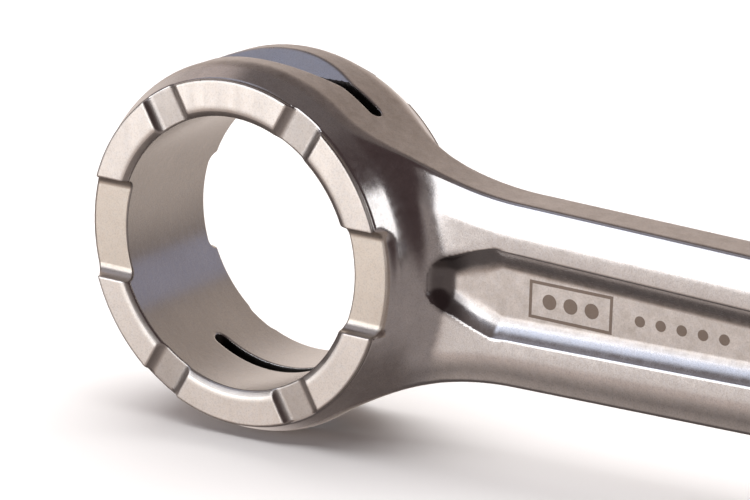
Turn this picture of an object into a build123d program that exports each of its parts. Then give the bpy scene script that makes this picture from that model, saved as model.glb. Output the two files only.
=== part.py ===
from build123d import *
from build123d.topology import SkipClean
import math
import os

# Forged and machined two-stroke connecting rod with its small-end needle bearing.
#
# Frame: X runs along the rod from the big end to the small end, Y along both bore axes,
# Z is up, so the rod stands on its edge. The origin is the centre of the big-end bore.
# Each piece is drawn lying flat, with its bore axis along z, and stand_up() turns it up.

# ---------------------------------------------------------------- rod, driving sizes (mm)
CENTRE_DISTANCE = 110.0      # big-end axis to small-end axis

BIG_BORE_R = 13.0
BIG_WIDTH = 14.6             # over the two thrust faces
BIG_OUTER_R = 17.72          # satin outside of the ring
BOSS_R = 16.45               # edge of the raised thrust face
BOSS_STEP = 0.4              # height of the face above the polished flank
BOSS_CHAMFER = 0.12
FLANK_TOP_R = 16.55
FLANK_TURN_R = 17.41         # where the flank turns from convex to hollow
FLANK_TURN_Z = 5.19
FLANK_TURN_SLOPE = 68.0      # degrees from the plane of the rod
FLANK_BULGE_R = 0.05         # how far the convex part stands out of a straight cone
FLANK_BULGE_Z = 0.03
BORE_CHAMFER_R = 0.62
BORE_CHAMFER_Z = 0.31

SMALL_BORE_R = 9.5
SMALL_WIDTH = 17.6
SMALL_OUTER_R = 12.6
SMALL_FLANK_Z = 7.6          # where the eye's side turns into the hollow flank
SMALL_FLANK_SLOPE = 66.0
SMALL_CHAMFER = 0.35

# ---------------------------------------------------------------- shank
SIDE_AT_ORIGIN = 9.41        # half height of the shank, run back to x = 0
SIDE_TAPER = -0.0315         # change of that half height for each mm of x
BIG_SIDE_FILLET = 31.0       # edge of the shank into the big-end ring
SMALL_SIDE_FILLET = 20.0
CROWN_Z = 2.79               # half thickness on the centre line
CROWN_R = 27.8               # the faces are slightly barrel shaped
SKIRT_Z = 1.5                # the hollow flanks run out at this half thickness

# ---------------------------------------------------------------- pockets in both faces
POCKET_FLOOR_Z = 1.65
POCKET_TIP_X = 21.3
POCKET_SHOULDER_X = 25.8
POCKET_SHOULDER_Y = 2.25
POCKET_END_X = 86.0
POCKET_END_SHOULDER_X = 84.0
POCKET_BALL_R = 2.5          # radius between the pocket's wall and its floor

# ---------------------------------------------------------------- thrust-face grooves
WIDE_GROOVE_HALF = 4.9
WIDE_GROOVE_DEPTH = 1.24
WIDE_GROOVE_ROUND = 1.0
NARROW_GROOVE_HALF = 2.43      # of the cutter: its round corners leave 2.15 at the face
NARROW_GROOVE_DEPTH = 0.49
NARROW_GROOVE_ROUND = 1.3
NARROW_GROOVE_ANGLES = (60.0, 120.0)

# ---------------------------------------------------------------- lubrication
SLOT_HALF = 0.72             # half width of the slot, along the bore axis
SLOT_FROM_X = -6.9
SLOT_TO_X = 11.5
SLOT_INNER_Y = 5.0           # the cutter stops here, inside the bore's space
VEE_APEX_Y = 15.15           # 90 degree groove that feeds the slot
OIL_HOLE_R = 1.5
OIL_HOLE_ANGLES = (-35.0, 35.0)

# ---------------------------------------------------------------- small-end needle bearing
PIN_R = 7.5
PIN_LENGTH = 45.0
PIN_BORE_R = 4.7
PIN_MOUTH_R = 5.9
PIN_MOUTH_DEPTH = 9.0
PIN_CHAMFER = 0.5
ROLLER_COUNT = 18
ROLLER_R = 0.99
ROLLER_LENGTH = 13.8
ROLLER_END_ROUND = 0.25
CAGE_LENGTH = 16.8
CAGE_INNER_R = 7.65
CAGE_OUTER_R = 9.35
WINDOW_GAP = 0.05            # clearance round a roller in its window
PITCH_R = (PIN_R + SMALL_BORE_R) / 2

# The forging is one piece. It is written as three, face to face, so that each is a simple shape.
RING_END_X = 19.0
EYE_START_X = 94.0

BIG = 60.0                   # larger than the rod is wide, for cutting tools
FILLET_MARGIN = 0.05         # a fillet of the full corner radius would leave no straight wall


def stand_up(piece):
    """Turn a piece drawn flat so that its bore axis lies along Y and the rod stands on edge."""
    return Rot(90, 0, 0) * piece


def at_small_end(piece):
    return Pos(CENTRE_DISTANCE, 0, 0) * piece


def both_faces(upper):
    """The same tool or solid on both faces of the rod."""
    return upper + mirror(upper, about=Plane.XY)


def side_tangency(eye_r, fillet_r, eye_x, direction):
    """Where the fillet between an eye and the shank's upper side starts and ends.

    direction is +1 at the big end and -1 at the small end. Returns the point on the eye, a
    point half way round the fillet, and the point on the side.
    """
    tilt = math.atan(SIDE_TAPER)
    along = (math.cos(tilt), math.sin(tilt))
    normal = (-math.sin(tilt), math.cos(tilt))
    side_height = (SIDE_AT_ORIGIN + SIDE_TAPER * eye_x) * math.cos(tilt)
    reach = math.sqrt((eye_r + fillet_r) ** 2 - (side_height + fillet_r) ** 2)
    run = direction * reach
    centre_x = run * along[0] + (side_height + fillet_r) * normal[0]
    centre_y = run * along[1] + (side_height + fillet_r) * normal[1]
    share = eye_r / (eye_r + fillet_r)
    on_eye = (eye_x + centre_x * share, centre_y * share)
    on_side = (eye_x + centre_x - fillet_r * normal[0], centre_y - fillet_r * normal[1])
    middle_x = (on_eye[0] + on_side[0]) / 2 - (eye_x + centre_x)
    middle_y = (on_eye[1] + on_side[1]) / 2 - centre_y
    scale = fillet_r / math.hypot(middle_x, middle_y)
    halfway = (eye_x + centre_x + middle_x * scale, centre_y + middle_y * scale)
    return on_eye, halfway, on_side


def flip(point):
    return (point[0], -point[1])


def rod_outline():
    """The rod seen along its bore axes: two eyes and a tapered shank, with tangent fillets."""
    big_eye, big_half, big_side = side_tangency(BIG_OUTER_R, BIG_SIDE_FILLET, 0, 1)
    small_eye, small_half, small_side = side_tangency(
        SMALL_OUTER_R, SMALL_SIDE_FILLET, CENTRE_DISTANCE, -1)
    edges = [
        ThreePointArc(big_eye, (-BIG_OUTER_R, 0), flip(big_eye)),
        ThreePointArc(flip(big_eye), flip(big_half), flip(big_side)),
        Line(flip(big_side), flip(small_side)),
        ThreePointArc(flip(small_side), flip(small_half), flip(small_eye)),
        ThreePointArc(flip(small_eye), (CENTRE_DISTANCE + SMALL_OUTER_R, 0), small_eye),
        ThreePointArc(small_eye, small_half, small_side),
        Line(small_side, big_side),
        ThreePointArc(big_side, big_half, big_eye),
    ]
    return make_face(Wire(edges))


def hollow_arc(from_r, from_z, slope, floor_z):
    """A hollow arc that leaves (from_r, from_z) at a slope and runs out level at floor_z."""
    turn = math.radians(slope)
    arc_r = (from_z - floor_z) / (1 - math.cos(turn))
    end_r = from_r + arc_r * math.sin(turn)
    middle_r = end_r - arc_r * math.sin(turn / 2)
    middle_z = floor_z + arc_r * (1 - math.cos(turn / 2))
    return (middle_r, middle_z), (end_r, floor_z)


def turned(edges):
    """A solid of revolution about z from the edges of its half section, drawn as (r, z)."""
    section = make_face(Wire(edges))
    return revolve(Plane.XZ * section, Axis.Z)


def big_end_blank():
    """Raised thrust face, polished convex flank, and the hollow flank that meets the shank."""
    top = BIG_WIDTH / 2
    step = top - BOSS_STEP
    halfway, end = hollow_arc(FLANK_TURN_R, FLANK_TURN_Z, FLANK_TURN_SLOPE, SKIRT_Z)
    flank_bulge = (
        (FLANK_TOP_R + FLANK_TURN_R) / 2 + FLANK_BULGE_R,
        (step + FLANK_TURN_Z) / 2 + FLANK_BULGE_Z,
    )
    return turned([
        Line((0, 0), (0, top)),
        Line((0, top), (BOSS_R - BOSS_CHAMFER, top)),
        Line((BOSS_R - BOSS_CHAMFER, top), (BOSS_R, top - BOSS_CHAMFER)),
        Line((BOSS_R, top - BOSS_CHAMFER), (BOSS_R, step)),
        Line((BOSS_R, step), (FLANK_TOP_R, step)),
        ThreePointArc((FLANK_TOP_R, step), flank_bulge, (FLANK_TURN_R, FLANK_TURN_Z)),
        ThreePointArc((FLANK_TURN_R, FLANK_TURN_Z), halfway, end),
        Line(end, (end[0], 0)),
        Line((end[0], 0), (0, 0)),
    ])


def small_end_blank():
    top = SMALL_WIDTH / 2
    halfway, end = hollow_arc(SMALL_OUTER_R, SMALL_FLANK_Z, SMALL_FLANK_SLOPE, SKIRT_Z)
    return turned([
        Line((0, 0), (0, top)),
        Line((0, top), (SMALL_OUTER_R - SMALL_CHAMFER, top)),
        Line((SMALL_OUTER_R - SMALL_CHAMFER, top), (SMALL_OUTER_R, top - SMALL_CHAMFER)),
        Line((SMALL_OUTER_R, top - SMALL_CHAMFER), (SMALL_OUTER_R, SMALL_FLANK_Z)),
        ThreePointArc((SMALL_OUTER_R, SMALL_FLANK_Z), halfway, end),
        Line(end, (end[0], 0)),
        Line((end[0], 0), (0, 0)),
    ])


def shank_blank():
    """Half of the barrel-faced shank, from one bore axis to the other."""
    reach = BIG_OUTER_R
    edge_z = CROWN_Z - CROWN_R + math.sqrt(CROWN_R ** 2 - reach ** 2)
    low = edge_z - CROWN_Z
    section = make_face(Wire([
        ThreePointArc((-reach, edge_z), (0, CROWN_Z), (reach, edge_z)),
        Line((reach, edge_z), (reach, low)),
        Line((reach, low), (-reach, low)),
        Line((-reach, low), (-reach, edge_z)),
    ]))
    bar = extrude(Plane.YZ * section, CENTRE_DISTANCE)
    upper_half = Pos(CENTRE_DISTANCE / 2, 0, BIG / 2) * Box(2 * CENTRE_DISTANCE, BIG, BIG)
    return bar & upper_half


def pocket_tool():
    """Shallow pocket with a pointed nose and ball-cornered walls, open upwards."""
    end_y = POCKET_SHOULDER_Y + SIDE_TAPER * (POCKET_END_SHOULDER_X - POCKET_SHOULDER_X)
    floor = Polygon(
        (POCKET_TIP_X, 0),
        (POCKET_SHOULDER_X, -POCKET_SHOULDER_Y),
        (POCKET_END_SHOULDER_X, -end_y),
        (POCKET_END_X, 0),
        (POCKET_END_SHOULDER_X, end_y),
        (POCKET_SHOULDER_X, POCKET_SHOULDER_Y),
        align=None,
    )
    mouth = offset(floor, POCKET_BALL_R)
    block = extrude(Pos(0, 0, POCKET_FLOOR_Z) * mouth, BIG_WIDTH)
    bottom_edges = block.edges().group_by(Axis.Z)[0]
    return fillet(bottom_edges, POCKET_BALL_R - FILLET_MARGIN)


def groove_tool(half, depth, bottom_round, angle, from_x, to_x):
    """Straight groove through the bore axis, cut into a thrust face with rounded bottom edges."""
    floor_z = BIG_WIDTH / 2 - depth
    height = depth + 2
    block = Box(to_x - from_x, 2 * half, height)
    block = Pos((from_x + to_x) / 2, 0, floor_z + height / 2) * block
    bottom_edges = block.edges().group_by(Axis.Z)[0].filter_by(Axis.X)
    return Rot(0, 0, angle) * fillet(bottom_edges, bottom_round)


def thrust_face_grooves():
    reach = BIG_OUTER_R + 0.5
    tools = groove_tool(WIDE_GROOVE_HALF, WIDE_GROOVE_DEPTH, WIDE_GROOVE_ROUND, 0, -reach, reach)
    for angle in NARROW_GROOVE_ANGLES:
        tools += groove_tool(
            NARROW_GROOVE_HALF, NARROW_GROOVE_DEPTH, NARROW_GROOVE_ROUND, angle, -reach, reach)
    return both_faces(tools)


def half_bore_tool(bore_r, width, chamfer_r, chamfer_z):
    """Round bore from the middle of an eye up through its face, with an entry chamfer."""
    top = width / 2
    return turned([
        Line((0, 0), (0, top + 1)),
        Line((0, top + 1), (bore_r + chamfer_r, top + 1)),
        Line((bore_r + chamfer_r, top + 1), (bore_r + chamfer_r, top)),
        Line((bore_r + chamfer_r, top), (bore_r, top - chamfer_z)),
        Line((bore_r, top - chamfer_z), (bore_r, 0)),
        Line((bore_r, 0), (0, 0)),
    ])


def lubrication_slot_tool():
    """Round-ended slot through the upper wall of the ring, with its 90 degree lead-in groove."""
    length = SLOT_TO_X - SLOT_FROM_X
    profile = SlotOverall(length, 2 * SLOT_HALF)
    slot = extrude(Plane.XZ * profile, -BIG / 2)
    slot = Pos((SLOT_FROM_X + SLOT_TO_X) / 2, SLOT_INNER_Y, 0) * slot
    rise = BIG / 2
    section = Polygon(
        (VEE_APEX_Y, 0), (VEE_APEX_Y + rise, rise), (VEE_APEX_Y + rise, -rise), align=None)
    vee = extrude(Plane.YZ * section, BIG_OUTER_R, both=True)
    return slot + vee


def rod_forging():
    flat = both_faces(big_end_blank() + shank_blank() + at_small_end(small_end_blank()))
    outline = extrude(rod_outline(), BIG_WIDTH, both=True)
    rod = flat & outline
    rod -= both_faces(pocket_tool())
    small_bore = half_bore_tool(SMALL_BORE_R, SMALL_WIDTH, SMALL_CHAMFER, SMALL_CHAMFER)
    rod -= at_small_end(both_faces(small_bore))
    rod -= thrust_face_grooves()
    slot = lubrication_slot_tool()
    rod -= slot
    rod -= mirror(slot, about=Plane.XZ)
    hole = Pos(0, 0, SMALL_OUTER_R) * Cylinder(OIL_HOLE_R, SMALL_OUTER_R)
    for angle in OIL_HOLE_ANGLES:
        rod -= at_small_end(Rot(0, 0, angle) * Rot(0, 90, 0) * hole)
    # The slots open most of the big bore's wall at mid width, so the bore is cut from each
    # face in turn and its wall stays two surfaces that meet there.
    big_bore = half_bore_tool(BIG_BORE_R, BIG_WIDTH, BORE_CHAMFER_R, BORE_CHAMFER_Z)
    with SkipClean():
        rod -= big_bore
        rod -= mirror(big_bore, about=Plane.XY)
    return rod


def length_of(rod, from_x, to_x):
    """The stretch of the one-piece forging between two planes across it."""
    box = Pos((from_x + to_x) / 2, 0, 0) * Box(to_x - from_x, BIG, BIG)
    with SkipClean():
        return rod & box


def gudgeon_pin():
    """Hollow pin with coned mouths."""
    end = PIN_LENGTH / 2
    half = turned([
        Line((PIN_BORE_R, 0), (PIN_BORE_R, end - PIN_MOUTH_DEPTH)),
        Line((PIN_BORE_R, end - PIN_MOUTH_DEPTH), (PIN_MOUTH_R, end)),
        Line((PIN_MOUTH_R, end), (PIN_R - PIN_CHAMFER, end)),
        Line((PIN_R - PIN_CHAMFER, end), (PIN_R, end - PIN_CHAMFER)),
        Line((PIN_R, end - PIN_CHAMFER), (PIN_R, 0)),
        Line((PIN_R, 0), (PIN_BORE_R, 0)),
    ])
    return both_faces(half)


def needle_cage():
    """Ring with one window for each roller."""
    cage = Cylinder(CAGE_OUTER_R, CAGE_LENGTH) - Cylinder(CAGE_INNER_R, CAGE_LENGTH)
    width = 2 * (ROLLER_R + WINDOW_GAP)
    window = Box(4 * ROLLER_R, width, ROLLER_LENGTH + 2 * WINDOW_GAP)
    for number in range(ROLLER_COUNT):
        turn = Rot(0, 0, 360 * number / ROLLER_COUNT)
        cage -= turn * Pos(PITCH_R, 0, 0) * window
    return cage


def needle_roller(number):
    roller = Cylinder(ROLLER_R, ROLLER_LENGTH)
    roller = fillet(roller.edges().filter_by(GeomType.CIRCLE), ROLLER_END_ROUND)
    turn = Rot(0, 0, 360 * number / ROLLER_COUNT)
    return turn * Pos(PITCH_R, 0, 0) * roller


def write(name, piece):
    export_step(stand_up(piece), f"parts/{name}.step")


os.makedirs("parts", exist_ok=True)
forging = rod_forging()
write("big_end_ring", length_of(forging, -BIG, RING_END_X))
write("shank", length_of(forging, RING_END_X, EYE_START_X))
write("small_end_eye", length_of(forging, EYE_START_X, CENTRE_DISTANCE + BIG))
write("gudgeon_pin", at_small_end(gudgeon_pin()))
write("needle_cage", at_small_end(needle_cage()))
for index in range(ROLLER_COUNT):
    write(f"needle_roller_{index + 1:02d}", at_small_end(needle_roller(index)))
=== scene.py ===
import math

import bpy
import numpy as np
from mathutils import Matrix, Vector


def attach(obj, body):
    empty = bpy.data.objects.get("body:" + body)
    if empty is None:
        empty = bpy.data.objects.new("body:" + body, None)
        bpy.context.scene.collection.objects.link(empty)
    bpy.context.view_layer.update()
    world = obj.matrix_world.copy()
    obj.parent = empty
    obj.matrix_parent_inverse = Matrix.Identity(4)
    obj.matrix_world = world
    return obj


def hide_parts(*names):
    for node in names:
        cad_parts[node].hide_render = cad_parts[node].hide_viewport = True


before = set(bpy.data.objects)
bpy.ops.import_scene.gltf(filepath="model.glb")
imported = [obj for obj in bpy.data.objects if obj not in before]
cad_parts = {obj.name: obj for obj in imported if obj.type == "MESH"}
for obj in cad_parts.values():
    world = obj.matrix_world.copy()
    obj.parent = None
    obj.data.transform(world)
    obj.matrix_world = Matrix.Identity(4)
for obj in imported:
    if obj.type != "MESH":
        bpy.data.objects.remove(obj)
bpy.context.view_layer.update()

MM = 0.001

# ---------------------------------------------------------------- the rod's sizes, mm, lying flat
# Flat axes: x along the rod, y across it, z along the bores. Standing up, flat (x, y, z) is
# (x, -z, y) in the row frame. The rod is alike either side of y = 0 and of z = 0.
CENTRE_DISTANCE = 110.0

# the big end: a raised face on a ring, a steep cone under its edge, and a hollow below that
BIG_BORE_R = 13.0
BIG_FACE_Z = 7.3
BIG_OUTER_R = 17.72
BIG_END_R = 20.0                        # nothing worked from the big bore lies further out
BOSS_R = 16.45
STEP_Z = 6.9
FLANK_TOP_R = 16.55
FLANK_TURN_R = 17.41
FLANK_TURN_Z = 5.19
BORE_CHAMFER_R = 0.62
BORE_CHAMFER_Z = 0.31

# the small end
SMALL_BORE_R = 9.5
SMALL_FACE_Z = 8.8
SMALL_OUTER_R = 12.6
SMALL_FLANK_Z = 7.6
SMALL_FLANK_SLOPE = math.radians(66.0)
SMALL_FLANK_ROUND = 0.6
SMALL_CHAMFER = 0.35
OIL_HOLE_R = 1.5
OIL_HOLE_ANGLE = math.radians(35.0)
OIL_HOLE_FROM = 3.0                     # both holes start inside the bore
OIL_HOLE_ROUND = 0.3

# the shank: its faces are flat in the middle and slope off to the sides
SIDE_AT_ORIGIN = 9.41
SIDE_TAPER = -0.0315
BIG_SIDE_FILLET = 31.0
SMALL_SIDE_FILLET = 20.0
SKIRT_Z = 1.5                           # how low the flanks' hollows run out
CROWN_Z = 2.53
CROWN_SLOPE = math.radians(21.5)
CROWN_SLOPE_WIDTH = 2.3
CROWN_ROUND = 0.36

# the pocket: a flat floor, and a wall that is an arc, tighter round the pocket's tip
POCKET_FLOOR_Z = 1.60
POCKET_WALL_R = 5.4
POCKET_TIP_WALL_R = 2.9
POCKET_FOOT_ANGLE = math.radians(17.0)  # the wall meets the floor at this angle, clear of the tip
POCKET_FOOT_ROUND = 0.05
POCKET_TIP_TIGHT_X, POCKET_TIP_CLEAR_X = 21.0, 27.0
POCKET_TIP_X, POCKET_TIP_Y = 21.5, 0.45
POCKET_SHOULDER_X, POCKET_SHOULDER_Y = 25.8, 2.3
POCKET_END_SHOULDER_X = 84.0
POCKET_END_X = 86.0
POCKET_RIM_Y = 4.05                     # where the rim lies beside the shoulder
POCKET_RIM_PLAN = 1.75                  # and how far it lies from the floor's edge
POCKET_DISH = 0.045                     # the face beside the rim is dished by this much
POCKET_DISH_REACH = 1.3
POCKET_DISH_LIMIT = 1.2

# what is milled into the big end
WIDE_HALF = 4.9
NARROW_HALF = 2.15                      # at the raised face, where the cutter's rounded corner ends
GROOVES = (                             # angle, the cutter's half width, depth, corner radius
    (0.0, WIDE_HALF, 1.24, 1.0),
    (60.0, 2.43, 0.49, 1.3),
    (120.0, 2.43, 0.49, 1.3),
)
GROOVE_REACH_R = 18.3                   # past the ring's outside
WIDE_FALL_R, WIDE_FALL = 16.3, 0.25     # the wide groove falls past this radius, on the shank's side
GROOVE_END_ROUND = 0.45                 # and runs out softly there
GROOVE_END_R = (BOSS_R - 0.2, BOSS_R + 0.3)
SHANK_SIDE_X = 10.0
SLOT_HALF = 0.72
SLOT_FROM_X, SLOT_TO_X = -6.9, 11.5
SLOT_START_Y = 5.0
VEE_APEX_Y = 15.15
VEE_REACH_X = 16.0

EDGE_ROUND = 0.16                       # how widely machined edges are broken
RIDGE_ROUND = 0.42                      # and the forged ridge between flank and side
BLEND_ROUND = 1.4                       # where flank and shank run together
RIM_ROUND = 0.06                        # the pocket's rim
FAR_INSIDE, FAR_OUTSIDE = -9.0, 9.0     # distances that stand for no surface nearby


# ---------------------------------------------------------------- the rod as a distance field
def smooth_min(a, b, width):
    h = np.maximum(width - np.abs(a - b), 0.0) / width
    return np.minimum(a, b) - h * h * width / 4


def smooth_max(a, b, width):
    return -smooth_min(-a, -b, width)


def smooth_step(value, low, high):
    share = np.clip((value - low) / (high - low), 0, 1)
    return share * share * (3 - 2 * share)


def outline_distance(x, y):
    """Distance outside the rod's outline, for y above the centre line."""
    tilt = math.atan(SIDE_TAPER)
    side = (y - SIDE_AT_ORIGIN - SIDE_TAPER * x) * math.cos(tilt)
    d = np.maximum(side, np.maximum(-x, x - CENTRE_DISTANCE))
    d = np.minimum(d, np.hypot(x, y) - BIG_OUTER_R)
    d = np.minimum(d, np.hypot(x - CENTRE_DISTANCE, y) - SMALL_OUTER_R)
    ends = (
        (BIG_OUTER_R, BIG_SIDE_FILLET, 0.0, 1),
        (SMALL_OUTER_R, SMALL_SIDE_FILLET, CENTRE_DISTANCE, -1),
    )
    for eye_r, fillet_r, eye_x, way in ends:
        height = (SIDE_AT_ORIGIN + SIDE_TAPER * eye_x) * math.cos(tilt) + fillet_r
        reach = way * math.sqrt((eye_r + fillet_r) ** 2 - height ** 2)
        centre_x = eye_x + reach * math.cos(tilt) - height * math.sin(tilt)
        centre_y = reach * math.sin(tilt) + height * math.cos(tilt)
        px, py = (x - centre_x) * way, y - centre_y
        to_eye_x, to_eye_y = (eye_x - centre_x) * way, -centre_y
        to_side_x, to_side_y = way * math.sin(tilt), -math.cos(tilt)
        within = (to_eye_x * py - to_eye_y * px >= 0) & (px * to_side_y - py * to_side_x >= 0)
        d = np.where(within, fillet_r - np.hypot(px, py), d)
    return d


def hollow_flank(r, z, from_r, from_z, slope):
    """Distance above a hollow flank that leaves (from_r, from_z) and runs out level."""
    arc_r = (from_z - SKIRT_Z) / (1 - math.cos(slope))
    centre_r = from_r + arc_r * math.sin(slope)
    centre_z = SKIRT_Z + arc_r
    under = arc_r - np.hypot(r - centre_r, z - centre_z)
    return np.where(r < centre_r, np.where(z < centre_z, under, arc_r), z - SKIRT_Z)


def big_end_flank(r, z):
    """Height above the ring's flank: a steep cone under the raised face, then a hollow."""
    slope = math.atan2(STEP_Z - FLANK_TURN_Z, FLANK_TURN_R - FLANK_TOP_R)
    out, down = r - FLANK_TURN_R, FLANK_TURN_Z - z
    cone = out * math.sin(slope) - down * math.cos(slope)
    skirt = hollow_flank(r, z, FLANK_TURN_R, FLANK_TURN_Z, slope)
    below = out * math.cos(slope) + down * math.sin(slope) > 0
    return smooth_max(np.where(below, skirt, cone), z - STEP_Z, EDGE_ROUND)


def small_end_flank(r, z):
    wall = smooth_max(r - SMALL_OUTER_R, z - SMALL_FACE_Z, 2 * SMALL_CHAMFER)
    skirt = hollow_flank(r, z, SMALL_OUTER_R, SMALL_FLANK_Z, SMALL_FLANK_SLOPE)
    skirt = np.maximum(skirt, z - SMALL_FLANK_Z)
    return smooth_min(wall, skirt, SMALL_FLANK_ROUND)


def pocket_plan_distance(x, y):
    """Distance outside the flat floor of the pocket, for y above the centre line."""
    end_y = POCKET_SHOULDER_Y + SIDE_TAPER * (POCKET_END_SHOULDER_X - POCKET_SHOULDER_X)
    points = (
        (POCKET_TIP_X, 0.0),
        (POCKET_TIP_X, POCKET_TIP_Y),
        (POCKET_SHOULDER_X, POCKET_SHOULDER_Y),
        (POCKET_END_SHOULDER_X, end_y),
        (POCKET_END_X, 0.0),
    )
    nearest = np.full(x.shape, np.inf)
    inside = np.ones(x.shape, bool)
    for (ax, ay), (bx, by) in zip(points, points[1:]):
        ux, uy = bx - ax, by - ay
        px, py = x - ax, y - ay
        share = np.clip((px * ux + py * uy) / (ux * ux + uy * uy), 0, 1)
        nearest = np.minimum(nearest, np.hypot(px - share * ux, py - share * uy))
        inside &= ux * py - uy * px <= 0
    return np.where(inside, -nearest, nearest)


def crown_distance(z, outline, plan):
    """Height above the shank's face: flat, dished a little at the pocket, sloping to the sides."""
    to_rim = np.clip(1 - (plan - POCKET_RIM_PLAN) / POCKET_DISH_REACH, 0, POCKET_DISH_LIMIT)
    middle = z - CROWN_Z + POCKET_DISH * to_rim ** 2
    down, out = z - CROWN_Z, outline + CROWN_SLOPE_WIDTH
    side = down * math.cos(CROWN_SLOPE) + out * math.sin(CROWN_SLOPE)
    return smooth_max(middle, side, CROWN_ROUND)


def groove_distance(x, y, z, r, angle, half, depth, corner):
    """Distance outside the cutter of one groove across the raised face."""
    turn = math.radians(angle)
    across = np.abs(y * math.cos(turn) - x * math.sin(turn))
    floor_z = BIG_FACE_Z - depth
    if angle == 0:       # the wide groove falls away a little past the raised face
        floor_z = floor_z - WIDE_FALL * np.maximum(np.where(x > 0, r, 0) - WIDE_FALL_R, 0)
    q = across - half + corner
    w = floor_z - z + corner
    rounded = np.hypot(np.maximum(q, 0), np.maximum(w, 0)) - corner
    inside = np.minimum(np.maximum(q, w), 0) + rounded
    return np.maximum(inside, r - GROOVE_REACH_R)


def slot_distance(x, z):
    """Distance outside the outline of the oil slots."""
    middle = (SLOT_FROM_X + SLOT_TO_X) / 2
    reach = (SLOT_TO_X - SLOT_FROM_X) / 2 - SLOT_HALF
    return np.hypot(np.maximum(np.abs(x - middle) - reach, 0), z) - SLOT_HALF


def rod_field(p):
    """Signed distance to the rod, negative in the steel."""
    x, y, z = p[..., 0], np.abs(p[..., 1]), np.abs(p[..., 2])
    r1 = np.hypot(x, y)
    r2 = np.hypot(x - CENTRE_DISTANCE, y)
    outline = outline_distance(x, y)
    plan = pocket_plan_distance(x, y)
    body = crown_distance(z, outline, plan)
    body = smooth_min(body, big_end_flank(r1, z), BLEND_ROUND)
    body = smooth_min(body, small_end_flank(r2, z), BLEND_ROUND)
    body = smooth_max(body, outline, RIDGE_ROUND)
    body = np.minimum(body, smooth_max(r1 - BOSS_R, z - BIG_FACE_Z, EDGE_ROUND))
    side = smooth_step(x, POCKET_TIP_TIGHT_X, POCKET_TIP_CLEAR_X)
    wall_r = POCKET_TIP_WALL_R + (POCKET_WALL_R - POCKET_TIP_WALL_R) * side
    foot = POCKET_FOOT_ANGLE * side
    out = np.maximum(plan + wall_r * np.sin(foot), 0)
    above = np.maximum(POCKET_FLOOR_Z + wall_r * np.cos(foot) - z, 0)
    pocket = smooth_min(wall_r - np.hypot(out, above), z - POCKET_FLOOR_Z, POCKET_FOOT_ROUND)
    body = smooth_max(body, pocket, RIM_ROUND)
    body = smooth_max(body, -np.maximum(slot_distance(x, z), SLOT_START_Y - y), EDGE_ROUND)
    vee = (z - y + VEE_APEX_Y) * math.sqrt(0.5)
    body = smooth_max(body, -np.maximum(vee, np.abs(x) - VEE_REACH_X), EDGE_ROUND)
    run_out = GROOVE_END_ROUND * smooth_step(r1, *GROOVE_END_R) * (x > SHANK_SIDE_X)
    for groove in GROOVES:
        soft = EDGE_ROUND + run_out * (groove[0] == 0)
        body = smooth_max(body, -groove_distance(x, y, z, r1, *groove), soft)
    body = smooth_max(body, BIG_BORE_R - r1, EDGE_ROUND)
    out, up = r1 - BIG_BORE_R - BORE_CHAMFER_R, z - BIG_FACE_Z
    chamfer = up * BORE_CHAMFER_R - out * BORE_CHAMFER_Z
    chamfer = chamfer / math.hypot(BORE_CHAMFER_R, BORE_CHAMFER_Z)
    body = smooth_max(body, np.where(r1 < BIG_END_R, chamfer, FAR_INSIDE), EDGE_ROUND)
    body = smooth_max(body, SMALL_BORE_R - r2, 2 * SMALL_CHAMFER)
    hole_x = x - CENTRE_DISTANCE
    off = hole_x * math.sin(OIL_HOLE_ANGLE) - y * math.cos(OIL_HOLE_ANGLE)
    along = hole_x * math.cos(OIL_HOLE_ANGLE) + y * math.sin(OIL_HOLE_ANGLE)
    hole = np.maximum(np.hypot(off, z) - OIL_HOLE_R, OIL_HOLE_FROM - along)
    return smooth_max(body, -hole, OIL_HOLE_ROUND)


def gradient(field, p, step=0.004):
    """The field's direction at each point, as a unit vector."""
    g = np.empty(p.shape)
    for axis in range(3):
        shift = np.zeros(3)
        shift[axis] = step
        g[..., axis] = field(p + shift) - field(p - shift)
    return g / np.maximum(np.linalg.norm(g, axis=-1, keepdims=True), 1e-12)


# ---------------------------------------------------------------- curved grids that follow the rod
CLOSE_LINES = (-0.13, -0.04, 0.04, 0.13)    # grid lines either side of an edge


def graded(low, high, features, step):
    """Grid lines from low to high, about step apart, with close lines either side of each feature."""
    marks = [low, high]
    for f in features:
        marks += [f + d for d in CLOSE_LINES]
    marks = sorted(m for m in marks if low <= m <= high)
    lines = [marks[0]]
    for a, b in zip(marks, marks[1:]):
        count = max(1, math.ceil((b - a) / step - 0.05))
        lines += [a + (b - a) * n / count for n in range(1, count + 1)]
    return np.array(lines)


def mirrored(half):
    """A symmetrical list of grid lines from its half above zero."""
    return np.concatenate([-half[::-1], half[1:] if half[0] == 0 else half])


# lines along the rod: straight out to the wide groove, then fanning out to the sector's edge
SECTOR_EDGE_V = 9.3
STRAIGHT_V = WIDE_HALF + CLOSE_LINES[-1]
CENTRE_LINES = graded(0.0, STRAIGHT_V, [POCKET_SHOULDER_Y, POCKET_RIM_Y, WIDE_HALF], 0.2)
OUTER_LINES = np.linspace(STRAIGHT_V, SECTOR_EDGE_V, 34)[1:]
CROSS_LINES = mirrored(np.concatenate([CENTRE_LINES, OUTER_LINES]))
ROW_STEP = 0.5
NOSE_X, NOSE_ROWS = 30.0, 56            # rows that turn from the ring's curve to straight across
JOIN_X, EYE_ROWS = 80.0, 60             # where the grids of the two ends meet
LOW_Z = graded(0.13, 5.0, [SLOT_HALF], 0.27)


def taper_shift(x, v):
    """How far a lengthwise grid line has moved inward at x, following the rod's taper."""
    share = np.clip(v / POCKET_SHOULDER_Y, -1, 1)
    return SIDE_TAPER * np.maximum(x - POCKET_SHOULDER_X, 0) * share


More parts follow.
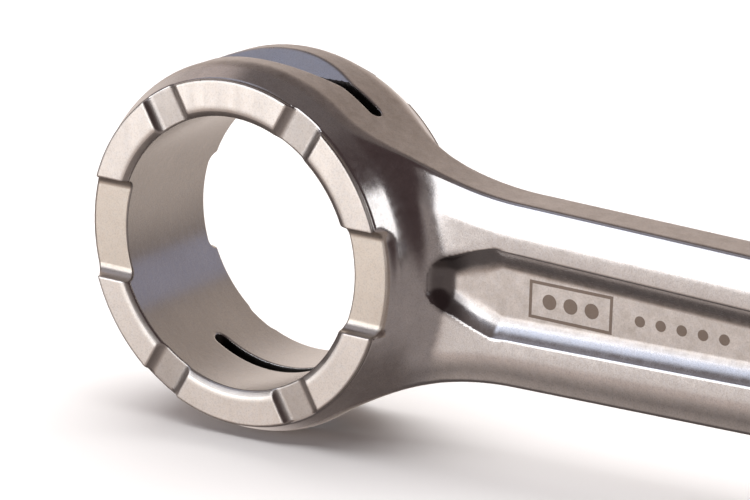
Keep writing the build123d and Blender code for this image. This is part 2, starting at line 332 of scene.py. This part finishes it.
def column_angles(r, edge_angle, arms):
    """Angle of each grid column at radius r: the shank's sector first, then round the ring.

    edge_angle is the sector's edge at this radius. arms lists the columns past the sector as
    (angle, offset) pairs, each a line parallel to a groove at that offset from the bore axis.
    """
    v = CROSS_LINES
    straight = np.arcsin(np.clip(v / r, -1, 1))
    start = math.asin(STRAIGHT_V / r)
    share = (np.abs(v) - STRAIGHT_V) / (SECTOR_EDGE_V - STRAIGHT_V)
    fanned = np.sign(v) * (start + (edge_angle - start) * share)
    sector = np.where(np.abs(v) <= STRAIGHT_V + 1e-9, straight, fanned)
    knots = [edge_angle] + [math.radians(a) + math.asin(w / r) for a, w in arms]
    knots.append(2 * math.pi - edge_angle)
    return sector, knots


def eye_grid(radii, heights, edge_angle, arms, around_step, tail_x, local_x, shift):
    """Nodes of a grid round one eye that runs on along the shank.

    tail_x are the rows past the eye, local_x turns the eye's own x into the rod's x.
    Returns the nodes in the eye's own axes and which of them are in use.
    """
    outer = radii[-1]
    reference = radii[len(radii) // 2]
    _, knots = column_angles(reference, edge_angle(reference), arms)
    counts = [max(1, round((b - a) * reference / around_step)) for a, b in zip(knots, knots[1:])]
    columns = len(CROSS_LINES) + sum(counts) - 1
    plan = np.zeros((len(radii) + len(tail_x), columns, 2))
    used = np.zeros(plan.shape[:2], bool)
    for i, r in enumerate(radii):
        sector, knots = column_angles(r, edge_angle(r), arms)
        ring = [a + (b - a) * n / c for a, b, c in zip(knots, knots[1:], counts) for n in range(1, c + 1)]
        angles = np.concatenate([sector, ring[:-1]])
        plan[i] = r * np.stack([np.cos(angles), np.sin(angles)], 1)
        used[i] = True
    start = plan[len(radii) - 1, :len(CROSS_LINES)]
    for n, (x_share, x_end) in enumerate(tail_x):
        row = len(radii) + n
        x = start[:, 0] + (x_end - start[:, 0]) * x_share
        end_y = CROSS_LINES + shift(x_end, CROSS_LINES)
        y = start[:, 1] + (end_y - start[:, 1]) * x_share
        plan[row, :len(CROSS_LINES)] = np.stack([x, y], 1)
        used[row, :len(CROSS_LINES)] = True
    nodes = np.empty((*plan.shape[:2], len(heights), 3))
    nodes[..., :2] = plan[:, :, None, :]
    nodes[..., 2] = heights
    nodes = local_x(nodes)
    return nodes, np.broadcast_to(used[..., None], nodes.shape[:3])


EDGE_SHARPNESS = 0.06    # how much the surface must turn in a cell to put its vertex on an edge
CROSSING_TURNS = 7


def crossings(field, inner, outer, f_inner, f_outer):
    """Where the field is zero on each edge, by false position and halving in turn."""
    low, high = np.zeros(len(inner)), np.ones(len(inner))
    f_low, f_high = f_inner.copy(), f_outer.copy()
    for turn in range(CROSSING_TURNS):
        guess = low - f_low * (high - low) / (f_high - f_low)
        guess = np.clip(guess, low, high)
        share = (low + high) / 2 if turn % 3 == 2 else guess
        value = field(inner + (outer - inner) * share[:, None])
        same = (value < 0) == (f_low < 0)
        low, f_low = np.where(same, share, low), np.where(same, value, f_low)
        high, f_high = np.where(same, high, share), np.where(same, f_high, value)
    guess = low - f_low * (high - low) / np.where(f_high == f_low, 1, f_high - f_low)
    return inner + (outer - inner) * np.clip(guess, low, high)[:, None]


def contour(field, nodes, used):
    """Dual contouring of the field on a curved grid whose second index goes all the way round."""
    rows, columns, levels = nodes.shape[:3]
    f = np.full(nodes.shape[:3], FAR_OUTSIDE)
    f[used] = field(nodes[used])
    inside = f < 0
    shape = (rows - 1, columns, levels - 1)
    around = {
        0: ((0, -1, -1), (0, 0, -1), (0, 0, 0), (0, -1, 0)),
        1: ((-1, 0, -1), (-1, 0, 0), (0, 0, 0), (0, 0, -1)),
        2: ((-1, -1, 0), (0, -1, 0), (0, 0, 0), (-1, 0, 0)),
    }
    cells, points, normals, quads = [], [], [], []
    for axis, offsets in around.items():
        change = inside != np.roll(inside, -1, axis)
        if axis != 1:
            last = [slice(None)] * 3
            last[axis] = -1
            change[tuple(last)] = False
        here = np.array(np.nonzero(change))
        there = here.copy()
        there[axis] += 1
        there[1] %= columns
        a, b = tuple(here), tuple(there)
        point = crossings(field, nodes[a], nodes[b], f[a], f[b])
        normal = gradient(field, point)
        corner_cells = []
        whole = np.ones(here.shape[1], bool)
        for offset in offsets:
            cell = here + np.array(offset)[:, None]
            cell[1] %= columns
            good = (cell[0] >= 0) & (cell[0] < shape[0]) & (cell[2] >= 0) & (cell[2] < shape[2])
            whole &= good
            index = (cell[0] * columns + cell[1]) * shape[2] + cell[2]
            corner_cells.append(index)
            cells.append(index[good])
            points.append(point[good])
            normals.append(normal[good])
        quad = np.stack(corner_cells, 1)
        backwards = ~inside[a]
        quad[backwards] = quad[backwards][:, ::-1]
        quads.append(quad[whole])
    quads = np.concatenate(quads)
    cells, slot = np.unique(np.concatenate(cells), return_inverse=True)
    points, normals = np.concatenate(points), np.concatenate(normals)

    def total(values):
        return np.bincount(slot, values, len(cells))

    count = total(None)
    mean = np.stack([total(points[:, n]) for n in range(3)], 1) / count[:, None]
    matrix = np.empty((len(cells), 3, 3))
    for n in range(3):
        for m in range(3):
            matrix[:, n, m] = total(normals[:, n] * normals[:, m])
    offset = (normals * (points - mean[slot])).sum(1)
    pull = np.stack([total(normals[:, n] * offset) for n in range(3)], 1)
    values, vectors = np.linalg.eigh(matrix)
    strong = values > EDGE_SHARPNESS * values[:, 2:]
    weight = np.where(strong, 1 / np.maximum(values, 1e-12), 0)
    move = np.einsum("nij,nj->ni", vectors, weight * np.einsum("nij,ni->nj", vectors, pull))
    i, rest = np.divmod(cells, columns * shape[2])
    j, k = np.divmod(rest, shape[2])
    corners = np.stack([nodes[i + a, (j + b) % columns, k + c]
                        for a in (0, 1) for b in (0, 1) for c in (0, 1)])
    vertices = np.clip(mean + move, corners.min(0), corners.max(0))
    return vertices, np.searchsorted(cells, quads)


def rod_mesh():
    """The rod's surface as vertices, quads and vertex normals, in millimetres, lying flat."""
    narrow = [NARROW_HALF + d for d in CLOSE_LINES]
    wide = [WIDE_HALF + d for d in CLOSE_LINES]
    down, up = [-w for w in narrow[::-1]], narrow
    wide_down = [-w for w in wide[::-1]]
    arms = [(60, w) for w in down[1:] + up]
    arms += [(120, w) for w in down + up]
    arms += [(180, w) for w in wide_down + wide]
    arms += [(240, w) for w in down + up]
    arms += [(300, w) for w in down + up[:-1]]
    radii = graded(12.8, 18.1, [BIG_BORE_R, BIG_BORE_R + BORE_CHAMFER_R, BOSS_R, BIG_OUTER_R], 0.26)
    top = np.array([5.3, 5.6, 5.8, 5.93, 6.02, 6.1, 6.19, 6.4, 6.6, 6.72, 6.77, 6.85, 6.95,
                    7.03, 7.12, 7.26, 7.34, 7.5])
    heights = mirrored(np.concatenate([LOW_Z, top]))
    nose = [(n / NOSE_ROWS, NOSE_X) for n in range(1, NOSE_ROWS + 1)]
    rows = np.arange(NOSE_X + ROW_STEP, JOIN_X + 1.5 * ROW_STEP, ROW_STEP)
    nodes, used = eye_grid(
        radii, heights, lambda r: math.radians(60) - math.asin(narrow[-1] / r), arms, 0.27,
        nose + [(1.0, x) for x in rows], lambda n: n, taper_shift)
    vertices, quads = contour(rod_field, nodes, used)

    small_radii = graded(9.3, 13.1, [SMALL_BORE_R, SMALL_OUTER_R], 0.35)
    top = np.array([5.3, 5.6, 6.0, 6.4, 6.8, 7.2, 7.5, 7.7, 8.0, 8.3, 8.5, 8.6, 8.7, 8.76, 8.84, 9.0])
    small_heights = mirrored(np.concatenate([LOW_Z, top]))
    last_x = CENTRE_DISTANCE - JOIN_X - ROW_STEP
    eye_rows = [(n / EYE_ROWS, last_x) for n in range(1, EYE_ROWS + 1)]
    eye_rows += [(1.0, CENTRE_DISTANCE - JOIN_X)]

    def turned(n):
        return n * (-1, -1, 1) + (CENTRE_DISTANCE, 0, 0)

    more_nodes, more_used = eye_grid(
        small_radii, small_heights, lambda r: math.radians(57), [], 0.33,
        eye_rows, turned, lambda x, v: taper_shift(CENTRE_DISTANCE - x, v))
    more_vertices, more_quads = contour(rod_field, more_nodes, more_used)
    quads = np.concatenate([quads, more_quads + len(vertices)])
    vertices = np.concatenate([vertices, more_vertices])

    # the two grids share one layer of cells: weld its vertices and drop the doubled quads
    keys = np.round(vertices, 5)
    _, first, same = np.unique(keys, axis=0, return_index=True, return_inverse=True)
    quads = same.reshape(-1)[quads]
    vertices = vertices[first]
    _, keep = np.unique(np.sort(quads, axis=1), axis=0, return_index=True)
    quads = quads[np.sort(keep)]
    return vertices, quads, gradient(rod_field, vertices)


# ---------------------------------------------------------------- finishes
def new_material(name):
    material = bpy.data.materials.new(name)
    material.use_nodes = True
    tree = material.node_tree
    tree.nodes.clear()
    return material, tree.nodes, tree.links


def noise(nodes, links, where, scale, detail=3.0, stretch=(1, 1, 1)):
    """A noise value in the row frame, per metre, drawn out along some of its axes."""
    mapping = nodes.new("ShaderNodeMapping")
    mapping.inputs["Scale"].default_value = stretch
    links.new(where, mapping.inputs["Vector"])
    texture = nodes.new("ShaderNodeTexNoise")
    texture.inputs["Scale"].default_value = scale
    texture.inputs["Detail"].default_value = detail
    links.new(mapping.outputs["Vector"], texture.inputs["Vector"])
    return texture.outputs["Fac"]


def spread(nodes, links, value, low, high, from_low=0.3, from_high=0.7):
    """The value, taken from one range to another."""
    mapped = nodes.new("ShaderNodeMapRange")
    mapped.inputs["From Min"].default_value = from_low
    mapped.inputs["From Max"].default_value = from_high
    mapped.inputs["To Min"].default_value = low
    mapped.inputs["To Max"].default_value = high
    links.new(value, mapped.inputs["Value"])
    return mapped.outputs["Result"]


def calculate(nodes, links, operation, first, second=None):
    """The result of one calculation on sockets or numbers."""
    step = nodes.new("ShaderNodeMath")
    step.operation = operation
    for socket, value in zip(step.inputs, (first, second)):
        if isinstance(value, bpy.types.NodeSocket):
            links.new(value, socket)
        elif value is not None:
            socket.default_value = value
    return step.outputs["Value"]


def mix(nodes, links, kind, factor, first, second):
    """Mix two sockets or two colours by a factor socket."""
    blend = nodes.new("ShaderNodeMix")
    blend.data_type = kind
    sockets = [i for i in blend.inputs if i.type == {"RGBA": "RGBA", "FLOAT": "VALUE"}[kind]]
    sockets = [i for i in sockets if i.name in "AB"]
    for socket, value in zip(sockets, (first, second)):
        if isinstance(value, bpy.types.NodeSocket):
            links.new(value, socket)
        else:
            socket.default_value = (*value, 1)
    links.new(factor, blend.inputs[0])
    return next(o for o in blend.outputs if o.type == sockets[0].type)


CLOUD_SHARE, STREAK_SHARE, FINE_SHARE = 0.45, 0.35, 0.2     # of the way from dark to light
TINT_SCALE, TINT_SHARE, TINT = 2300.0, 0.30, (0.86, 0.90, 0.96)
SPECK_SCALE, SPECK_SHARE, SPECK = 8000.0, 0.36, 0.62
BUMP_DEPTH = 0.02 * MM


def steel_sockets(nodes, links, where, dark, light, rough, cloud_scale=180.0, grain_scale=900.0,
                  grain=(1, 1, 1), bump_scale=6000.0):
    """Colour, roughness and height sockets of one kind of worked steel."""
    cloud = noise(nodes, links, where, cloud_scale, 4.0)
    streak = noise(nodes, links, where, grain_scale, 3.0, grain)
    fine = noise(nodes, links, where, bump_scale, 2.0, grain)
    tone = calculate(nodes, links, "ADD", spread(nodes, links, cloud, 0.0, CLOUD_SHARE),
                     spread(nodes, links, streak, 0.0, STREAK_SHARE))
    tone = calculate(nodes, links, "ADD", tone, spread(nodes, links, fine, 0.0, FINE_SHARE))
    colour = mix(nodes, links, "RGBA", tone, dark, light)
    tint = noise(nodes, links, where, TINT_SCALE, 2.0)
    tint = spread(nodes, links, tint, 0.0, TINT_SHARE, 0.45, 0.65)
    colour = mix(nodes, links, "RGBA", tint, colour, tuple(c * k for c, k in zip(light, TINT)))
    speck = noise(nodes, links, where, SPECK_SCALE, 1.0)
    speck = spread(nodes, links, speck, 0.0, SPECK_SHARE, 0.46, 0.78)
    colour = mix(nodes, links, "RGBA", speck, colour, tuple(c * SPECK for c in dark))
    return colour, spread(nodes, links, streak, *rough), fine


def dot_row(nodes, links, x, z, centre_x, spacing, count, radius):
    """1 inside a row of round dots."""
    along = calculate(nodes, links, "SUBTRACT", x, centre_x * MM)
    to_dot = calculate(nodes, links, "PINGPONG", along, spacing / 2 * MM)
    place = nodes.new("ShaderNodeCombineXYZ")
    links.new(to_dot, place.inputs["X"])
    links.new(z, place.inputs["Y"])
    length = nodes.new("ShaderNodeVectorMath")
    length.operation = "LENGTH"
    links.new(place.outputs["Vector"], length.inputs[0])
    dot = calculate(nodes, links, "LESS_THAN", length.outputs["Value"], radius * MM)
    reach = calculate(nodes, links, "ABSOLUTE", along)
    within = calculate(nodes, links, "LESS_THAN", reach, spacing * count / 2 * MM)
    return calculate(nodes, links, "MULTIPLY", dot, within)


def etched_mark(nodes, links, where):
    """1 on the marks etched in the front pocket's floor: a frame with dots in it, and more dots."""
    place = nodes.new("ShaderNodeSeparateXYZ")
    links.new(where, place.inputs["Vector"])
    x, y, z = (place.outputs[axis] for axis in "XYZ")
    out_x = calculate(nodes, links, "ABSOLUTE", calculate(nodes, links, "SUBTRACT", x, MARK_X * MM))
    out_x = calculate(nodes, links, "SUBTRACT", out_x, MARK_HALF_X * MM)
    out_z = calculate(nodes, links, "ABSOLUTE", z)
    out_z = calculate(nodes, links, "SUBTRACT", out_z, MARK_HALF_Z * MM)
    edge = calculate(nodes, links, "ABSOLUTE", calculate(nodes, links, "MAXIMUM", out_x, out_z))
    mark = calculate(nodes, links, "LESS_THAN", edge, MARK_LINE / 2 * MM)
    for row in MARK_DOTS:
        mark = calculate(nodes, links, "MAXIMUM", mark, dot_row(nodes, links, x, z, *row))
    front = calculate(nodes, links, "LESS_THAN", y, 0.0)
    return calculate(nodes, links, "MULTIPLY", mark, front)


def steel(name, bump=0.12, over=None, by=None, etched=False, **look):
    """A steel finish. Another may be laid over it, as far as a point attribute of the mesh says."""
    material, nodes, links = new_material(name)
    where = nodes.new("ShaderNodeTexCoord").outputs["Object"]
    colour, rough, fine = steel_sockets(nodes, links, where, **look)
    if over:
        share = nodes.new("ShaderNodeAttribute")
        share.attribute_name = by
        share = share.outputs["Fac"]
        over_colour, over_rough, over_fine = steel_sockets(nodes, links, where, **over)
        colour = mix(nodes, links, "RGBA", share, colour, over_colour)
        rough = mix(nodes, links, "FLOAT", share, rough, over_rough)
        fine = mix(nodes, links, "FLOAT", share, spread(nodes, links, fine, 0.35, 0.65), over_fine)
        # painted shade, with some oil dirt: darkens the pocket's tight end as far as its attribute says
        shade_and_oil = nodes.new("ShaderNodeAttribute")
        shade_and_oil.attribute_name = "shade_and_oil"
        colour = mix(nodes, links, "RGBA", shade_and_oil.outputs["Fac"], colour, SHADE_AND_OIL)
    if etched:
        mark = spread(nodes, links, etched_mark(nodes, links, where), 0.0, ETCHED_SHARE, 0, 1)
        colour = mix(nodes, links, "RGBA", mark, colour, ETCHED)
    bumps = nodes.new("ShaderNodeBump")
    bumps.inputs["Strength"].default_value = bump
    bumps.inputs["Distance"].default_value = BUMP_DEPTH
    links.new(fine, bumps.inputs["Height"])
    shader = nodes.new("ShaderNodeBsdfPrincipled")
    shader.inputs["Metallic"].default_value = 1.0
    links.new(colour, shader.inputs["Base Color"])
    links.new(rough, shader.inputs["Roughness"])
    links.new(bumps.outputs["Normal"], shader.inputs["Normal"])
    output = nodes.new("ShaderNodeOutputMaterial")
    links.new(shader.outputs["BSDF"], output.inputs["Surface"])
    return material


# painted shade, with some oil dirt, laid over the tight end of the pocket
SHADE_AND_OIL, SHADE_AND_OIL_SHARE = (0.10, 0.085, 0.085), 0.8
ETCHED, ETCHED_SHARE = (0.15, 0.11, 0.085), 0.85
MARK_X, MARK_HALF_X, MARK_HALF_Z, MARK_LINE = 32.7, 4.0, 1.6, 0.3
MARK_DOTS = (            # centre, spacing, how many, radius
    (MARK_X, 2.1, 3, 0.7),
    (43.5, 2.0, 5, 0.5),
)
SATIN = {"dark": (0.44, 0.40, 0.37), "light": (0.71, 0.66, 0.63), "rough": (0.30, 0.40),
         "cloud_scale": 900.0, "grain_scale": 1600.0, "bump_scale": 5000.0}
FINISHES = {
    "thrust_face": steel("ground_thrust_face", 0.25, dark=(0.69, 0.64, 0.595), light=(0.88, 0.83, 0.785),
                         rough=(0.33, 0.43), grain=(1, 1, 0.25), bump_scale=5000.0),
    "body": steel("polished_forging", 0.10, over=SATIN, by="satin", etched=True, dark=(0.54, 0.52, 0.515),
                  light=(0.69, 0.665, 0.655), rough=(0.15, 0.22), cloud_scale=500.0,
                  grain_scale=1500.0, bump_scale=4500.0),
    "groove": steel("milled_groove", 0.2, dark=(0.58, 0.52, 0.46), light=(0.72, 0.66, 0.59),
                    rough=(0.28, 0.38)),
    # painted shade: a darker copy of the milled steel for the shade on the narrow grooves; it also covers
    # the step wall and bore chamfer
    "narrow_groove": steel("milled_narrow_groove_painted_darker", 0.2, dark=(0.43, 0.395, 0.37),
                           light=(0.57, 0.53, 0.50), rough=(0.28, 0.38)),
    "bore": steel("honed_bore", 0.2, dark=(0.63, 0.605, 0.58), light=(0.77, 0.745, 0.715),
                  rough=(0.18, 0.26), grain=(1, 4, 1), bump_scale=5000.0),
    # painted shade: the slot's walls are near-black to stand for the deep shadow inside the narrow slot
    "slot": steel("slot_painted_shade", 0.2, dark=(0.06, 0.055, 0.05), light=(0.12, 0.11, 0.10),
                  rough=(0.4, 0.55)),
    "vee": steel("milled_vee", 0.2, dark=(0.46, 0.47, 0.51), light=(0.60, 0.61, 0.65),
                 rough=(0.25, 0.35)),
}


def zones(centre, normal):
    """Which finish each part of the rod's surface has, from where it lies and how it faces.

    The radii and heights are the rod's own, with room for the rounding of its edges.
    """
    x, y, z = centre[:, 0], np.abs(centre[:, 1]), np.abs(centre[:, 2])
    facing = np.abs(normal[:, 2])
    r1 = np.hypot(x, y)
    r2 = np.hypot(x - CENTRE_DISTANCE, y)
    zone = np.full(len(x), "body", object)
    # narrow grooves, step wall and bore chamfer get the darker painted-shade copy of milled steel
    zone[(r1 < BOSS_R + 0.02) & (z > 6.7)] = "narrow_groove"
    wide = (y < WIDE_HALF + 0.1) & (r1 > 12.9) & (z > 5.9) & (z < 7.2)
    zone[(r1 < BOSS_R + 1.2) & wide] = "groove"
    zone[(r1 < BOSS_R) & (z > BIG_FACE_Z - 0.06) & (facing > 0.8)] = "thrust_face"
    zone[(r1 < BIG_BORE_R + 0.1) & (z < 7.05)] = "bore"
    vee = np.abs(z - (y - VEE_APEX_Y)) < 0.08
    zone[vee & (r1 < BIG_OUTER_R + 0.1) & (y > VEE_APEX_Y - 0.2) & (z < 2.7)] = "vee"
    inner = (r1 > BIG_BORE_R + 0.08) & (r1 < BIG_OUTER_R - 0.1) & (y > 9)
    # the slot's walls take the near-black painted shade
    zone[(np.abs(slot_distance(x, z)) < 0.1) & inner] = "slot"
    zone[(r2 < SMALL_OUTER_R + 0.1) & (z > SMALL_FACE_Z - 0.3) & (facing > 0.6)] = "thrust_face"
    zone[r2 < SMALL_BORE_R + 0.2] = "bore"
    return zone


POCKET_SIDE_X = 15.0     # the floor's own finish starts past the big end


def satin_share(points, normals):
    """1 on the satin band round the rod's edge and on the pocket's floor, 0 where it is polished."""
    x, y, z = points[:, 0], np.abs(points[:, 1]), np.abs(points[:, 2])
    band = smooth_step(outline_distance(x, y), -0.5, -0.2) * smooth_step(np.abs(normals[:, 2]), 0.6, 0.35)
    plan = pocket_plan_distance(x, y)
    floor = smooth_step(plan, 0.9, 0.2) * smooth_step(z, POCKET_FLOOR_Z + 0.4, POCKET_FLOOR_Z + 0.1)
    return np.maximum(band, floor * (x > POCKET_SIDE_X))


def shade_and_oil_share(points):
    """How far the steel is darkened in the tight end of the pocket: painted shade there, with some oil
    dirt.
    """
    x, y, z = points[:, 0], np.abs(points[:, 1]), np.abs(points[:, 2])
    plan = pocket_plan_distance(x, y)
    wall = smooth_step(plan, 0.1, 0.9) * smooth_step(plan, 2.9, 2.2)
    tip = smooth_step(x, 23.5, 20.8) * (x > POCKET_SIDE_X) * (z < 4.0)
    return SHADE_AND_OIL_SHARE * wall * tip


def stand_up(points):
    """From lying flat to the row frame, in metres."""
    return np.stack([points[:, 0], -points[:, 2], points[:, 1]], 1) * MM


def make_rod():
    vertices, quads, normals = rod_mesh()
    whole = np.array([len(set(q)) == 4 for q in quads.tolist()])
    quads = quads[whole]
    mesh = bpy.data.meshes.new("connecting_rod")
    mesh.from_pydata(stand_up(vertices).tolist(), [], quads.tolist())
    names = list(FINISHES)
    for name in names:
        mesh.materials.append(FINISHES[name])
    a, b, c, d = (vertices[quads[:, n]] for n in range(4))
    face_normal = np.cross(c - a, d - b)
    face_normal /= np.maximum(np.linalg.norm(face_normal, axis=1, keepdims=True), 1e-12)
    zone = zones((a + b + c + d) / 4, face_normal)
    mesh.polygons.foreach_set("material_index", np.array([names.index(z) for z in zone], np.int32))
    mesh.polygons.foreach_set("use_smooth", np.ones(len(quads), bool))
    satin = mesh.attributes.new("satin", "FLOAT", "POINT")
    satin.data.foreach_set("value", satin_share(vertices, normals).astype(np.float32))
    # where the pocket's tight end gets painted shade, with some oil dirt
    shade_and_oil = mesh.attributes.new("shade_and_oil", "FLOAT", "POINT")
    shade_and_oil.data.foreach_set("value", shade_and_oil_share(vertices).astype(np.float32))
    mesh.normals_split_custom_set_from_vertices((stand_up(normals) / MM).tolist())
    made = bpy.data.objects.new("connecting_rod", mesh)
    bpy.context.scene.collection.objects.link(made)
    return made


rod = make_rod()
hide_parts("big_end_ring", "shank", "small_end_eye")
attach(rod, "rod")

# ---------------------------------------------------------------- the needle bearing and pin
BEARING = {
    "pin": steel("ground_pin", 0.1, dark=(0.60, 0.60, 0.61), light=(0.70, 0.70, 0.71),
                 rough=(0.10, 0.16), grain=(1, 6, 1)),
    "cage": steel("plated_cage", 0.1, dark=(0.60, 0.57, 0.52), light=(0.72, 0.69, 0.63),
                  rough=(0.25, 0.36)),
    "roller": steel("polished_roller", 0.1, dark=(0.58, 0.58, 0.59), light=(0.68, 0.68, 0.69),
                    rough=(0.10, 0.16)),
}
for name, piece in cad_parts.items():
    kind = {"gudgeon_pin": "pin", "needle_cage": "cage"}.get(name, "roller")
    if name not in ("big_end_ring", "shank", "small_end_eye"):
        for number in range(len(piece.material_slots)):
            piece.material_slots[number].material = BEARING[kind]

# ---------------------------------------------------------------- floor, camera and light
FLOOR_TILT = math.asin((BIG_OUTER_R - SMALL_OUTER_R) / CENTRE_DISTANCE)
FLOOR_HALF = 3.0         # metres
FLOOR_GAP = 0.02         # under the ring, mm
# painted shade: the paper near the object is darker and warmer than further off
PAPER_SHADED_NEAR, PAPER_FAR = (0.90, 0.882, 0.872), (0.95, 0.95, 0.95)
PAPER_FROM, PAPER_TO = 0.03, 0.22       # metres from the object, where one turns into the other
LENS, SENSOR = 122.3, 36.0
CAMERA_AT = Vector((133.358, -187.435, 69.819))
CAMERA_RIGHT = Vector((0.83467, 0.55045, 0.01804))
CAMERA_FORWARD = Vector((-0.52165, 0.80065, -0.29470))
LIGHTS_AIM = Vector((0.03, 0, 0))
floor_up = Vector((-math.sin(FLOOR_TILT), 0, math.cos(FLOOR_TILT)))


def paper():
    """Pale paper with painted shade: a little darker and warmer near the object, and white further off.
    """
    material, nodes, links = new_material("pale_paper")
    where = nodes.new("ShaderNodeTexCoord").outputs["Object"]
    distance = nodes.new("ShaderNodeVectorMath")
    distance.operation = "LENGTH"
    links.new(where, distance.inputs[0])
    far = spread(nodes, links, distance.outputs["Value"], 0.0, 1.0, PAPER_FROM, PAPER_TO)
    shader = nodes.new("ShaderNodeBsdfPrincipled")
    shader.inputs["Roughness"].default_value = 0.8
    shader.inputs["Specular IOR Level"].default_value = 0.2
    tone = mix(nodes, links, "RGBA", far, PAPER_SHADED_NEAR, PAPER_FAR)
    links.new(tone, shader.inputs["Base Color"])
    output = nodes.new("ShaderNodeOutputMaterial")
    links.new(shader.outputs["BSDF"], output.inputs["Surface"])
    return material


def make_floor():
    mesh = bpy.data.meshes.new("floor")
    half = FLOOR_HALF
    mesh.from_pydata([(-half, -half, 0), (half, -half, 0), (half, half, 0), (-half, half, 0)],
                     [], [(0, 1, 2, 3)])
    mesh.materials.append(paper())
    floor = bpy.data.objects.new("floor", mesh)
    bpy.context.scene.collection.objects.link(floor)
    turn = Matrix.Rotation(-FLOOR_TILT, 4, "Y")
    floor.matrix_world = Matrix.Translation(-floor_up * (BIG_OUTER_R + FLOOR_GAP) * MM) @ turn
    floor.visible_glossy = False


def make_camera():
    data = bpy.data.cameras.new("camera")
    data.sensor_width = SENSOR
    data.lens = LENS
    data.clip_start = 0.01
    camera = bpy.data.objects.new("camera", data)
    bpy.context.scene.collection.objects.link(camera)
    bpy.context.scene.camera = camera
    right, forward = CAMERA_RIGHT, CAMERA_FORWARD
    up = right.cross(forward)
    camera.matrix_world = Matrix.Translation(CAMERA_AT * MM) @ Matrix((
        (right.x, up.x, -forward.x, 0),
        (right.y, up.y, -forward.y, 0),
        (right.z, up.z, -forward.z, 0),
        (0, 0, 0, 1)))


def direction(azimuth, elevation):
    """A unit vector. Azimuth turns from +X towards +Y."""
    a, e = math.radians(azimuth), math.radians(elevation)
    return Vector((math.cos(a) * math.cos(e), math.sin(a) * math.cos(e), math.sin(e)))


def softbox(name, azimuth, elevation, distance, width, height, radiance, colour=(1, 1, 1),
            glossy=True):
    """A rectangular light aimed at the object, given by how bright its face looks."""
    data = bpy.data.lights.new(name, "AREA")
    data.shape = "RECTANGLE"
    data.size = width
    data.size_y = height
    data.energy = radiance * math.pi * width * height
    data.color = colour
    light = bpy.data.objects.new(name, data)
    bpy.context.scene.collection.objects.link(light)
    light.visible_camera = False
    light.visible_glossy = glossy
    towards = direction(azimuth, elevation)
    light.matrix_world = Matrix.Translation(LIGHTS_AIM + towards * distance) @ (
        towards.to_track_quat("Z", "Y").to_matrix().to_4x4())


def make_world(base, glows):
    """A dim studio round the object: a base colour, with soft-edged patches of another colour."""
    world = bpy.data.worlds.new("studio")
    bpy.context.scene.world = world
    world.use_nodes = True
    nodes, links = world.node_tree.nodes, world.node_tree.links
    way = nodes.new("ShaderNodeTexCoord").outputs["Generated"]
    tone = base
    for azimuth, elevation, inner, outer, colour in glows:
        dot = nodes.new("ShaderNodeVectorMath")
        dot.operation = "DOT_PRODUCT"
        links.new(way, dot.inputs[0])
        dot.inputs[1].default_value = direction(azimuth, elevation)
        share = nodes.new("ShaderNodeMapRange")
        share.interpolation_type = "SMOOTHSTEP"
        share.inputs["From Min"].default_value = math.cos(math.radians(outer))
        share.inputs["From Max"].default_value = math.cos(math.radians(inner))
        links.new(dot.outputs["Value"], share.inputs["Value"])
        tone = mix(nodes, links, "RGBA", share.outputs["Result"], tone, colour)
    background = nodes["Background"]
    links.new(tone, background.inputs["Color"])


make_floor()
make_camera()
softbox("front_left_box", -121, 5, 0.8, 0.62, 0.48, 2.1, (0.98, 0.99, 1.0))
softbox("right_box", 9, 17, 0.8, 0.27, 0.42, 2.8)
softbox("floor_fill", 105, 80, 1.2, 1.7, 1.7, 2.95, glossy=False)
make_world((0.19, 0.16, 0.155), (       # azimuth, elevation, full within, gone beyond, colour
    (-40, -32, 45, 65, (0.36, 0.31, 0.295)),
    (-40, 30, 33, 50, (0.08, 0.055, 0.055)),
    (0, -90, 25, 50, (0.16, 0.13, 0.12)),
    (-125, -33, 9, 22, (0.42, 0.36, 0.33)),
    (-132, -23, 6, 15, (0.70, 0.59, 0.535)),
    (-115, -23, 6, 15, (0.70, 0.59, 0.535)),
    (-131, -15, 5, 11, (1.0, 0.91, 0.86)),
    (-121, -15, 5, 11, (1.0, 0.91, 0.86)),
    (-111, -15, 5, 11, (1.0, 0.91, 0.86)),
    (-123, -64, 12, 28, (0.13, 0.11, 0.105)),
    (80, -25, 10, 45, (0.50, 0.43, 0.39)),
    (90, 15, 10, 42, (0.50, 0.42, 0.37)),
    (128, -5, 5, 55, (0.88, 0.77, 0.71)),
    (170, 36, 8, 24, (0.72, 0.61, 0.57)),
    (-155, 50, 8, 24, (0.48, 0.48, 0.56)),
    (-122, 25, 5, 13, (1.20, 1.30, 1.55)),
    (52, 14, 12, 14.5, (0.31, 0.30, 0.37)),
))
bpy.context.scene.view_settings.view_transform = "Standard"
